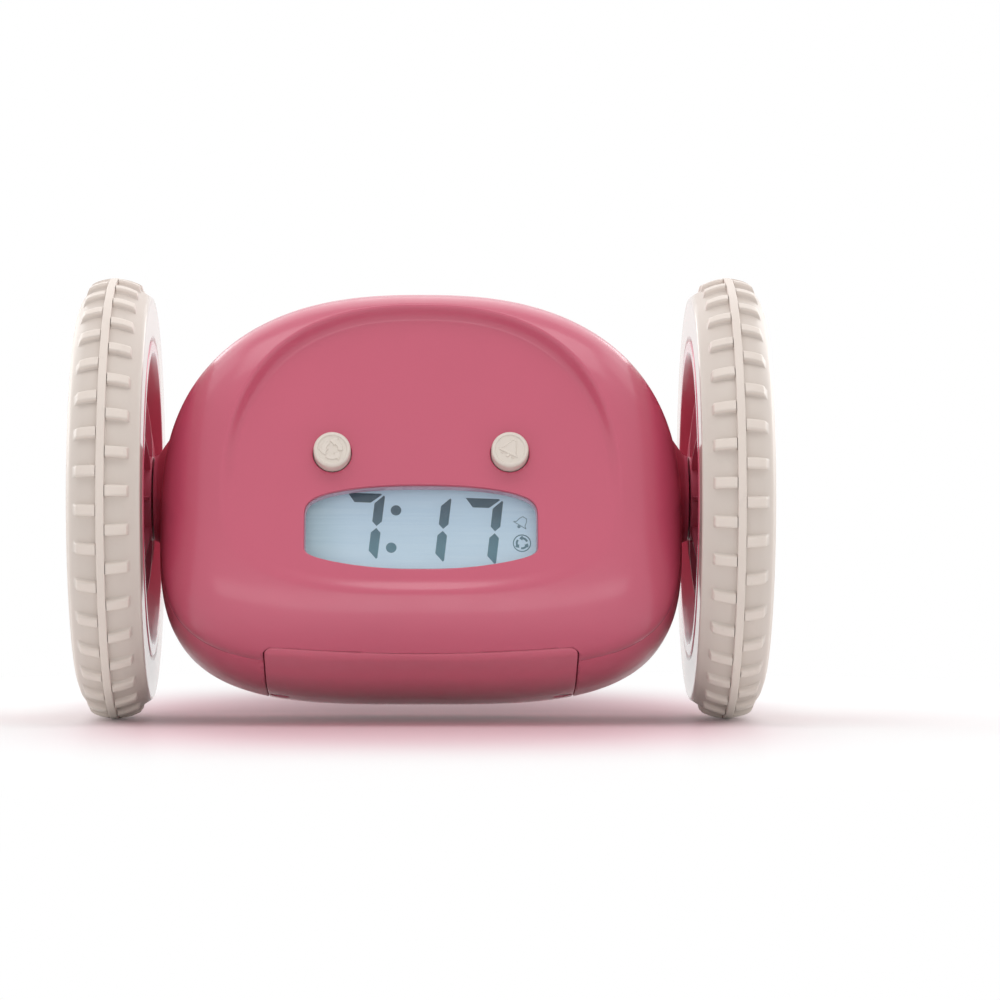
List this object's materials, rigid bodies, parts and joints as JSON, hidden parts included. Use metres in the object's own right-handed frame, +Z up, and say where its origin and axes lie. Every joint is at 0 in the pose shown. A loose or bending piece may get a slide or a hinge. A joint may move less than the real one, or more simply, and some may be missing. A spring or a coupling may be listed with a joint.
{
  "type": "runaway alarm clock",
  "caption": "Egg-shaped alarm clock body with a digital display, carried between large lugged wheels that drive it away when the alarm rings.",
  "frame": {"origin": "on the floor plane under the middle of the axle, halfway between the two wheels", "axes": "+X along the axle, to the right as one looks at the face; the face looks along -Y; +Z up"},
  "size_m": [0.136, 0.088, 0.088],
  "materials": {
    "pink_front": "satin",
    "pink_rear": "satin",
    "pink_cover": "satin",
    "wheel_pink": "satin",
    "tyre_white": "matte",
    "button_white": "satin",
    "key_grey": "satin",
    "lens_clear": "gloss",
    "lcd": "gloss",
    "guide_clear": "gloss",
    "connector_rubber": "matte",
    "board_green": "satin",
    "chip_black": "matte",
    "steel": "satin",
    "zinc": "polished",
    "brass": "satin",
    "silicone": "matte",
    "tray_black": "matte",
    "cell_jacket": "satin",
    "motor_can": "satin",
    "gear_white": "satin",
    "gearbox_grey": "matte",
    "magnet": "satin",
    "paper_cone": "matte"
  },
  "bodies": {
    "clock": {"alarm_dome": "silicone", "battery_1": "cell_jacket", "battery_2": "cell_jacket", "battery_3": "cell_jacket", "battery_4": "cell_jacket", "battery_tray": "tray_black", "board_screws": "zinc", "control_chip": "chip_black", "cycle_dome": "silicone", "front_shell": "pink_front", "gearbox_screws": "zinc", "housing_screws": "zinc", "idler_pins": "steel", "key_board": "board_green", "key_pad": "silicone", "lcd_connector": "connector_rubber", "lcd_lens": "lens_clear", "lcd_panel": "lcd", "left_bushing": "brass", "left_gearbox_base": "gearbox_grey", "left_gearbox_plate": "gearbox_grey", "left_motor": "motor_can", "light_guide": "guide_clear", "main_board": "board_green", "plate_contacts": "zinc", "quartz_crystal": "steel", "rear_shell": "pink_rear", "right_bushing": "brass", "right_gearbox_base": "gearbox_grey", "right_gearbox_plate": "gearbox_grey", "right_motor": "motor_can", "speaker_basket": "steel", "speaker_cone": "paper_cone", "speaker_magnet": "magnet", "spring_contacts": "zinc"},
    "left_wheel": {"left_tyre": "tyre_white", "left_wheel_disc": "wheel_pink", "left_hub_cap": "wheel_pink", "left_wheel_screw": "zinc", "left_axle_shaft": "steel", "left_output_gear": "gear_white"},
    "left_idler": {"left_idler_gear": "gear_white"},
    "left_pinion": {"left_motor_pinion": "brass", "left_motor_shaft": "steel"},
    "right_wheel": {"right_tyre": "tyre_white", "right_wheel_disc": "wheel_pink", "right_hub_cap": "wheel_pink", "right_wheel_screw": "zinc", "right_axle_shaft": "steel", "right_output_gear": "gear_white"},
    "right_idler": {"right_idler_gear": "gear_white"},
    "right_pinion": {"right_motor_pinion": "brass", "right_motor_shaft": "steel"},
    "cycle_button": {"cycle_button": "button_white"},
    "alarm_button": {"alarm_button": "button_white"},
    "hour_key": {"hour_key": "key_grey"},
    "minute_key": {"minute_key": "key_grey"},
    "set_key": {"set_key": "key_grey"},
    "battery_cover": {"battery_cover": "pink_cover", "cover_screws": "zinc"}
  },
  "joints": [
    {"name": "left_wheel_spin", "type": "hinge", "parent": "clock", "child": "left_wheel", "pos_m": [-0.0609, 0, 0.044], "axis": [1, 0, 0], "continuous": true},
    {"name": "left_idler_spin", "type": "hinge", "parent": "clock", "child": "left_idler", "pos_m": [-0.039, 0.01123, 0.03978], "axis": [1, 0, 0], "continuous": true},
    {"name": "left_pinion_spin", "type": "hinge", "parent": "clock", "child": "left_pinion", "pos_m": [-0.038, 0.00579, 0.03079], "axis": [1, 0, 0], "continuous": true},
    {"name": "right_wheel_spin", "type": "hinge", "parent": "clock", "child": "right_wheel", "pos_m": [0.0609, 0, 0.044], "axis": [1, 0, 0], "continuous": true},
    {"name": "right_idler_spin", "type": "hinge", "parent": "clock", "child": "right_idler", "pos_m": [0.039, 0.01123, 0.03978], "axis": [1, 0, 0], "continuous": true},
    {"name": "right_pinion_spin", "type": "hinge", "parent": "clock", "child": "right_pinion", "pos_m": [0.038, 0.00579, 0.03079], "axis": [1, 0, 0], "continuous": true},
    {"name": "cycle_press", "type": "slide", "parent": "clock", "child": "cycle_button", "axis": [0, 0.956, -0.2932], "range_m": [0, 0.0007], "stiffness_N_per_m": 900, "springref_m": -0.0006, "deforming": ["cycle_dome"]},
    {"name": "alarm_press", "type": "slide", "parent": "clock", "child": "alarm_button", "axis": [0, 0.956, -0.2932], "range_m": [0, 0.0007], "stiffness_N_per_m": 900, "springref_m": -0.0006, "deforming": ["alarm_dome"]},
    {"name": "hour_press", "type": "slide", "parent": "clock", "child": "hour_key", "axis": [0, -0.9848, 0.1736], "range_m": [0, 0.0007], "stiffness_N_per_m": 900, "springref_m": -0.0006},
    {"name": "minute_press", "type": "slide", "parent": "clock", "child": "minute_key", "axis": [0, -0.9848, 0.1736], "range_m": [0, 0.0007], "stiffness_N_per_m": 900, "springref_m": -0.0006},
    {"name": "set_press", "type": "slide", "parent": "clock", "child": "set_key", "axis": [0, -0.9848, 0.1736], "range_m": [0, 0.0007], "stiffness_N_per_m": 900, "springref_m": -0.0006},
    {"name": "cover_lift_off", "type": "slide", "parent": "clock", "child": "battery_cover", "axis": [0, -0.1736, -0.9848], "range_m": [0, 0.06]}
  ],
  "couplings": [
    {"joint": "left_idler_spin", "follows": "left_wheel_spin", "ratio": -3},
    {"joint": "left_pinion_spin", "follows": "left_wheel_spin", "ratio": 9.6},
    {"joint": "right_idler_spin", "follows": "right_wheel_spin", "ratio": -3},
    {"joint": "right_pinion_spin", "follows": "right_wheel_spin", "ratio": 9.6}
  ]
}
